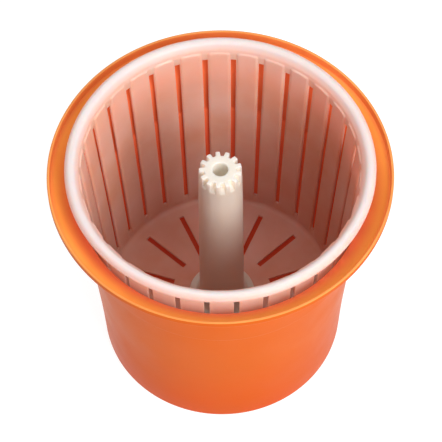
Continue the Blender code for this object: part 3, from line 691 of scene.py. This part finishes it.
def build_basket():
    columns, rows = basket_columns(), basket_rows()
    across, up = len(columns) * SLOTS, len(rows)
    verts = []
    for skin in (0, 1):
        for row in rows:
            r, z = row[skin]
            for k in range(SLOTS):
                for share, offset in columns:
                    azimuth = SLOT_PHASE + TAU * k / SLOTS + column_angle(share, offset, r, z)
                    rise = pad_rise(share, offset, r, z) if skin == 0 and row[2] == "wall" else 0.0
                    radius = r - rise
                    verts.append((radius * math.sin(azimuth), radius * math.cos(azimuth), z))
    hole = np.zeros((up - 1, across), bool)
    for i in range(up - 1):
        for c in range(across):
            column, following = columns[c % len(columns)], columns[(c + 1) % len(columns)]
            hole[i, c] = is_hole(rows[i], rows[i + 1], column, following, c // len(columns))
    faces = []
    back = across * up

    def at(i, c, skin=0):
        return skin * back + i * across + c % across

    for i in range(up - 1):
        for c in range(across):
            if hole[i, c]:
                continue
            faces.append((at(i, c), at(i, c + 1), at(i + 1, c + 1), at(i + 1, c)))
            faces.append((at(i, c, 1), at(i + 1, c, 1), at(i + 1, c + 1, 1), at(i, c + 1, 1)))
            if i == 0 or hole[i - 1, c]:
                faces.append((at(i, c), at(i, c, 1), at(i, c + 1, 1), at(i, c + 1)))
            if i == up - 2 or hole[i + 1, c]:
                faces.append((at(i + 1, c), at(i + 1, c + 1), at(i + 1, c + 1, 1), at(i + 1, c, 1)))
            if hole[i, (c - 1) % across]:
                faces.append((at(i, c), at(i + 1, c), at(i + 1, c, 1), at(i, c, 1)))
            if hole[i, (c + 1) % across]:
                faces.append((at(i, c + 1), at(i, c + 1, 1), at(i + 1, c + 1, 1), at(i + 1, c + 1)))
    used = sorted({v for face in faces for v in face})
    place = {v: n for n, v in enumerate(used)}
    verts = [verts[v] for v in used]
    faces = [tuple(place[v] for v in face) for face in faces]
    obj = make("basket_skin", verts, faces, MATERIALS["milky_pp"], "basket", ["basket"], 50)
    round_edges(obj, 0.3 * MM, 60)


# ---------------------------------------------------------------- gears

def tooth(angle, teeth, tip_half, root_half):
    """1 on a tooth's tip and 0 in the gap, for an angle counted from a tooth's middle."""
    share = abs((angle * teeth / TAU + 0.5) % 1.0 - 0.5)
    return 1.0 - ease((share - tip_half) / (root_half - tip_half))


def polar_ring(radius, z, count, at=(0.0, 0.0)):
    """A level ring of points; its radius is a length or a function of the azimuth."""
    ring = []
    for k in range(count):
        angle = TAU * k / count
        r = radius(angle) if callable(radius) else radius
        ring.append((at[0] + r * math.sin(angle), at[1] + r * math.cos(angle), z))
    return ring


def pinion_outline(z, inset=0.0):
    """The pinion's radius as a function of azimuth; the gaps run out into the column at its foot."""
    depth = PINION_TOP - z
    merge = ease((depth - TOOTH_H + FADE) / FADE)
    draft = TOOTH_DRAFT * depth

    def radius(angle):
        rise = tooth(angle - PINION_PHASE, TEETH, *TOOTH_SHARES)
        toothed = ROOT_R + draft + (TIP_R - ROOT_R) * rise
        return toothed * (1 - merge) + COLUMN_R * merge - inset
    return radius


def build_pinion():
    """One closed skin: up the bore, over the teeth, down the column and up its hollow."""
    count = TEETH * 28
    foot, seat = PINION_TOP - TOOTH_H, low("drive_pinion").z
    bore = rounded([(BORE_R - 0.5 * MM, PINION_TOP - BORE_DEPTH, 0),
                    (BORE_R, PINION_TOP - 0.8 * MM, 0.5 * MM), (BORE_R + 0.7 * MM, PINION_TOP, 0.4 * MM),
                    (BORE_R + 2 * MM, PINION_TOP, 0), (ROOT_R - 2 * MM, PINION_TOP, 0)])
    rings = [[(0, 0, PINION_TOP - BORE_DEPTH)]] + [polar_ring(r, z, count) for r, z in bore]
    levels = [(PINION_TOP - drop * MM, inset * MM) for inset, drop in TOOTH_TOP]
    levels += [(z, 0.0) for z in np.linspace(PINION_TOP - 2.5 * MM, foot + FADE + 0.5 * MM, 4)]
    levels += [(z, 0.0) for z in np.linspace(foot + FADE, foot, 16)]
    rings += [polar_ring(pinion_outline(z, inset), z, count) for z, inset in levels]
    skirt = rounded([(COLUMN_R, foot, 0), (COLUMN_R + 0.9 * MM, foot - 60 * MM, 0),
                     (COLUMN_FOOT_R, seat + 14 * MM, 4 * MM),
                     (COLUMN_FOOT_R + 4 * MM, seat + FLANGE_T, 4 * MM),
                     (FLANGE_R, seat + FLANGE_T, 1 * MM), (FLANGE_R, seat, 0.6 * MM), (POCKET_R, seat, 0),
                     (POCKET_R, POCKET_TOP, 0), (HOLLOW_R, POCKET_TOP, 0),
                     (HOLLOW_R, HOLLOW_TOP - 5 * MM, 6 * MM), (0, HOLLOW_TOP, 0)])
    rings += [polar_ring(r, z, count) for r, z in skirt[1:-1]] + [[(0, 0, HOLLOW_TOP)]]
    verts, faces = loft(rings)
    make("toothed_column", verts, faces, MATERIALS["off_white_pp"], "basket", ["drive_pinion"],
         50)
    top, bottom, edge = high("foot_bearing").z, low("foot_bearing").z, high("foot_bearing").x
    turned("bearing_insert",
           [(PIN_HOLE_R, top, 0.5 * MM), (edge, top, 0.6 * MM), (edge, BEARING_SHOULDER, 0.3 * MM),
            (BEARING_COLLAR_R, BEARING_SHOULDER, 0.3 * MM), (BEARING_COLLAR_R, bottom, 0.6 * MM),
            (PIN_HOLE_R, bottom, 0.4 * MM)],
           MATERIALS["acetal"], "basket", ["foot_bearing"])


def gear_outline(inset):
    """The gear's radius as a function of azimuth, with a tooth's middle towards the pinion's side."""
    return lambda angle: (GEAR_ROOT - inset + (GEAR_TIP - GEAR_ROOT)
                          * tooth(angle - math.pi / 2, GEAR_TEETH, *GEAR_SHARES))


def build_gear():
    count = GEAR_TEETH * 12
    bottom, hub_top = low("drive_gear").z, high("drive_gear").z
    top, web_low, web_top = bottom + GEAR_H, bottom + WEB_LOW, bottom + WEB_TOP
    inner = rounded([(SHAFT_HOLE, bottom, 0.4 * MM), (SHAFT_HOLE, hub_top, 0.4 * MM),
                     (GEAR_HUB_R, hub_top, 0.8 * MM), (WEB_IN, web_top, 1.5 * MM),
                     (WEB_OUT, web_top, 1.5 * MM), (GEAR_RING_R, top, 0.5 * MM)])
    outer = rounded([(GEAR_RING_R, bottom, 0.5 * MM), (WEB_OUT, web_low, 1.5 * MM),
                     (WEB_IN, web_low, 1.5 * MM), (GEAR_HUB_R, bottom, 0.8 * MM)], steps=4)
    edge = 0.5 * MM
    rings = [polar_ring(r, z, count, CRANK) for r, z in inner]
    rings += [polar_ring(gear_outline(inset), z, count, CRANK)
              for inset, z in ((edge, top), (0.0, top - edge), (0.0, bottom + edge), (edge, bottom))]
    rings += [polar_ring(r, z, count, CRANK) for r, z in outer]
    verts, faces = loft(rings, closed=True)
    make("toothed_wheel", verts, faces, MATERIALS["off_white_pp"], "crank", ["drive_gear"],
         50)


# ---------------------------------------------------------------- screws

def cross(angle, arm, half):
    """Radius of a cross recess at an angle."""
    folded = abs((angle + math.pi / 4) % (math.pi / 2) - math.pi / 4)
    return arm / math.cos(folded) if math.tan(folded) < half / arm else half / math.sin(folded)


def build_screw(name, node, body, sizes, up=True):
    """A pan-head screw with a cross recess in the place of a CAD screw; up puts its head at the top."""
    head_r, head_h, shank_r = sizes
    at = axis_of(node)
    bottom, top = low(node).z, high(node).z
    crown, tip, way = (top, bottom, -1) if up else (bottom, top, 1)
    arm, half, deep = head_r * 0.52, head_r * 0.12, min(head_h * 0.6, 1.6 * MM)

    def ring(r, down):
        return polar_ring(r, crown + way * down, SMALL, at)

    rings = [[(*at, crown + way * deep)], ring(lambda a: cross(a, arm * 0.6, half * 0.8), deep),
             ring(lambda a: cross(a, arm, half), 0.02 * MM)]
    rings += [ring(head_r * out, head_h * down) for out, down in PAN_HEAD] + [ring(shank_r, head_h)]
    length = abs(tip - crown)
    for k in range(int((length - head_h - shank_r) / PITCH)):
        down = head_h + (k + 0.5) * PITCH
        rings += [ring(shank_r * 0.86, down), ring(shank_r, down + PITCH / 2)]
    rings += [ring(shank_r * 0.8, length - shank_r * 0.7), [(*at, tip)]]
    verts, faces = loft(rings)
    make(name, verts, faces, MATERIALS["stainless"], body, [node], 35)


# ---------------------------------------------------------------- lid and crank

def groove(inner, outer, slope, depth, soft):
    """Corners of a ring-shaped groove in the lid's top, its sizes in mm."""
    return [(r * MM, LID_TOP - down * MM, soft * MM)
            for r, down in ((inner, 0), (inner + slope, depth), (outer - slope, depth), (outer, 0))]


def build_lid():
    at = (LID_X, LID_Y)
    skirt_low, skirt_high = SKIRT_R + SKIRT_LEAN, SKIRT_R - SKIRT_LEAN
    corners = [(0, LID_TOP, 0)]
    for sizes in GROOVES:
        corners += groove(*sizes)
    corners += [(skirt_high, LID_TOP, 11 * MM), (skirt_low, BRIM, 2 * MM), (LID_R, BRIM_EDGE, 1 * MM),
                (LID_R, 0, 0.6 * MM), (SKIRT_R - LID_T, 0, 0.5 * MM),
                (skirt_low - LID_T, BRIM_INSIDE, 2 * MM), (skirt_high - LID_T, LID_TOP - LID_T, 8 * MM),
                (0, LID_TOP - LID_T, 0)]
    turned("lid_skin", corners, MATERIALS["lid_pp"], "lid", ["lid_shell"], at, FINE)
    boss_top, boss_foot = high("lid_shell").z, LID_TOP - BOSS_SUNK
    boss = [(BOSS_HOLE, boss_top, 0.4 * MM), (CRANK_BOSS_R, boss_top, 1 * MM),
            (CRANK_BOSS_R + 0.8 * MM, LID_TOP, 2 * MM), (BOSS_PAD_R, LID_TOP - 0.2 * MM, 1 * MM),
            (BOSS_PAD_R, LID_TOP - 1.5 * MM, 0), (CRANK_BOSS_R + 0.4 * MM, boss_foot, 0),
            (BOSS_HOLE, boss_foot, 0)]
    turned("crank_boss", boss, MATERIALS["lid_pp"], "lid", ["lid_shell"], CRANK)
    spigot_top, foot = STEADY_TOP + SPIGOT_H, low("centre_pin").z
    corners = [(0, spigot_top, 0), (SPIGOT_R, spigot_top, 0.3 * MM), (SPIGOT_R, STEADY_TOP, 0),
               (STEADY_FLANGE_R, STEADY_TOP, 0.4 * MM),
               (STEADY_FLANGE_R, STEADY_TOP - STEADY_FLANGE_T, 0.8 * MM),
               (STEADY_R + 1 * MM, STEADY_TOP - 3 * MM, 2 * MM), (STEADY_R, STEADY_TOP - 6 * MM, 1 * MM),
               (STEADY_R, foot + 2.5 * MM, 1 * MM), (STEADY_R - 2 * MM, foot, 0.6 * MM), (0, foot, 0)]
    turned("steady_pin", corners, MATERIALS["off_white_pp"], "lid", ["centre_pin"], at)
    for k in range(1, 4):
        build_screw("guard_fixing_%d" % k, "guard_screw_%d" % k, "lid", GUARD_SCREW, up=False)
        build_screw("column_fixing_%d" % k, "column_screw_%d" % k, "basket", COLUMN_SCREW, up=False)
    guard = NODES["gear_guard"]
    guard.data.materials.clear()
    guard.data.materials.append(MATERIALS["off_white_pp"])
    round_edges(guard, 0.5 * MM, 50)


def arm_ring(inset, z, count=96):
    """Outline of the arm, two round ends joined by tangents, drawn in by inset."""
    lean = math.asin((ARM_HUB_R - ARM_END_R) / (CRANK[1] - KNOB[1]))
    ring = []
    for radius, y, start, sweep in ((ARM_HUB_R, CRANK[1], -lean, math.pi + 2 * lean),
                                    (ARM_END_R, KNOB[1], math.pi + lean, math.pi - 2 * lean)):
        for i in range(count // 2):
            angle = start + sweep * i / (count // 2 - 1)
            r = radius - inset
            ring.append((CRANK[0] + r * math.cos(angle), y + r * math.sin(angle), z))
    return ring


def headed_pin(name, node, at, shank_r, head, thread, soft):
    """A steel pin with a head at its foot and a threaded hole in its top; soft is three roundings."""
    foot, top = low(node).z, high(node).z
    (head_r, head_h), (hole_r, depth) = head, thread
    corners = [(0, top - depth, 0), (hole_r, top - depth, 0), (hole_r, top, soft[0]),
               (shank_r, top, soft[1]), (shank_r, foot + head_h, 0), (head_r, foot + head_h, 0.4 * MM),
               (head_r, foot, soft[2]), (0, foot, 0)]
    turned(name, corners, MATERIALS["stainless"], "crank", [node], at)


def build_crank():
    mat = MATERIALS["crank_pp"]
    z = low("crank_arm").z
    verts, faces = loft([arm_ring(inset * MM, z + up * MM) for inset, up in ARM_EDGE])
    make("arm_bar", verts, faces, mat, "crank", ["crank_arm"])
    hub_foot, hub_top = z + HUB_BOSS_FOOT, high("crank_arm").z
    hub = [(SHAFT_HOLE, hub_top, 0.4 * MM), (HUB_BOSS_R, hub_top, 1.4 * MM),
           (HUB_BOSS_R + 0.8 * MM, hub_foot, 0), (SHAFT_HOLE, hub_foot, 0)]
    turned("arm_hub", hub, mat, "crank", ["crank_arm"], CRANK)
    end_foot, end_top = z + END_BOSS_FOOT, z + END_BOSS_TOP
    end = [(KNOB_HOLE, end_top, 0.3 * MM), (END_BOSS_R, end_top, 0.8 * MM),
           (END_BOSS_R + 0.6 * MM, end_foot, 0), (KNOB_HOLE, end_foot, 0)]
    turned("arm_end", end, mat, "crank", ["crank_arm"], KNOB)
    headed_pin("crank_spindle", "crank_shaft", CRANK, SHAFT_R, SHAFT_HEAD, SHAFT_THREAD,
               (0.3 * MM, 0.5 * MM, 0.6 * MM))
    ring_piece("crank_ring", "crank_washer", "crank", "stainless", SHAFT_THREAD[0], 0.25 * MM)
    build_screw("crank_fixing", "crank_screw", "crank", CRANK_SCREW)


def build_knob():
    mat = MATERIALS["crank_pp"]
    bottom, top = low("knob").z, high("knob").z
    seat = top - KNOB_RECESS
    corners = [(KNOB_RECESS_R, top - 0.4 * MM, 0.4 * MM), (KNOB_RECESS_R + 1 * MM, top, 0.8 * MM),
               (KNOB_TOP_R, top, 2.2 * MM), (KNOB_R, top - 4 * MM, 2.6 * MM),
               (KNOB_R, top - 12 * MM, 7 * MM), (KNOB_WAIST_R, top - 25 * MM, 8 * MM),
               (KNOB_WAIST_R, bottom + 9 * MM, 5 * MM), (KNOB_FOOT_R, bottom + 3 * MM, 1.6 * MM),
               (KNOB_FOOT_R, bottom, 0.8 * MM), (KNOB_HOLE, bottom, 0.4 * MM), (KNOB_HOLE, seat, 0),
               (KNOB_RECESS_R, seat, 0)]
    turned("hand_knob", corners, mat, "grip", ["knob"], KNOB, 96, 8)
    cap_low, cap_top = low("knob_cap").z, high("knob_cap").z
    cap = [(0, cap_top, 0), (5 * MM, cap_top - 0.1 * MM, 1 * MM),
           (CAP_R - 0.2 * MM, cap_top - 0.6 * MM, 0.8 * MM), (CAP_R, cap_low, 0.3 * MM), (0, cap_low, 0)]
    turned("knob_plug", cap, mat, "grip", ["knob_cap"], KNOB)
    headed_pin("knob_spindle", "knob_pin", KNOB, PIN_R, PIN_HEAD, PIN_THREAD,
               (0.2 * MM, 0.4 * MM, 0.5 * MM))
    build_screw("knob_fixing", "knob_screw", "crank", KNOB_SCREW)


# ---------------------------------------------------------------- setting

CAMERA_REACH = 2.145             # from the middle of the bowl's rim
CAMERA_RISE = 57.593             # degrees, of the camera as seen from there
CAMERA_PITCH, CAMERA_ROLL = 58.858, -0.78      # degrees, how far it looks down and how it is turned
CAMERA_LENS = 183.96
FLOOR_DROP = 0.4 * MM            # the floor lies this much under the object's foot
FLOOR_GREY, FLOOR_GLOW = 0.30, 0.86


def build_floor():
    mesh = bpy.data.meshes.new("floor")
    work = bmesh.new()
    bmesh.ops.create_grid(work, x_segments=1, y_segments=1, size=6.0)
    work.to_mesh(mesh)
    work.free()
    floor = bpy.data.objects.new("floor", mesh)
    bpy.context.scene.collection.objects.link(floor)
    n = Nodes("floor")
    n.shader.inputs["Base Color"].default_value = (FLOOR_GREY, FLOOR_GREY, FLOOR_GREY, 1)
    n.shader.inputs["Roughness"].default_value = 0.9
    n.shader.inputs["Emission Color"].default_value = (1, 1, 1, 1)
    n.shader.inputs["Emission Strength"].default_value = FLOOR_GLOW
    mesh.materials.append(n.mat)
    floor.location.z = -FLOOR_DROP


def area_light(name, place, aim, size, power):
    data = bpy.data.lights.new(name, "AREA")
    data.shape = "DISK"
    data.size = size
    data.energy = power
    obj = bpy.data.objects.new(name, data)
    bpy.context.scene.collection.objects.link(obj)
    obj.location = place
    obj.rotation_euler = (Vector(aim) - Vector(place)).to_track_quat("-Z", "Y").to_euler()


def build_studio():
    world = bpy.data.worlds.new("studio")
    bpy.context.scene.world = world
    world.use_nodes = True
    sky = world.node_tree.nodes["Background"]
    sky.inputs["Color"].default_value = (1.0, 0.99, 0.98, 1)
    sky.inputs["Strength"].default_value = 0.40
    aim = (0, 0, 0.2)
    area_light("key", (1.2, -1.7, 1.8), aim, 1.5, 64)
    area_light("top", (-0.1, 0.2, 2.4), aim, 1.8, 10)
    area_light("back", (-0.9, 1.6, 1.6), aim, 1.4, 7)
    bpy.context.scene.view_settings.view_transform = "Standard"


def build_camera():
    """From in front and well above, with the bowl's rim a little above the middle of the view."""
    data = bpy.data.cameras.new("camera")
    data.sensor_width = 36.0
    data.lens = CAMERA_LENS
    camera = bpy.data.objects.new("camera", data)
    bpy.context.scene.collection.objects.link(camera)
    rise = math.radians(CAMERA_RISE)
    place = Vector((0.0, -CAMERA_REACH * math.cos(rise), RIM_Z + CAMERA_REACH * math.sin(rise)))
    tilt = Matrix.Rotation(math.radians(90 - CAMERA_PITCH), 4, "X")
    roll = Matrix.Rotation(math.radians(CAMERA_ROLL), 4, "Z")
    camera.matrix_world = Matrix.Translation(place) @ tilt @ roll
    bpy.context.scene.camera = camera


build_bowl()
build_basket()
build_pinion()
build_gear()
build_lid()
build_crank()
build_knob()
build_floor()
build_studio()
build_camera()
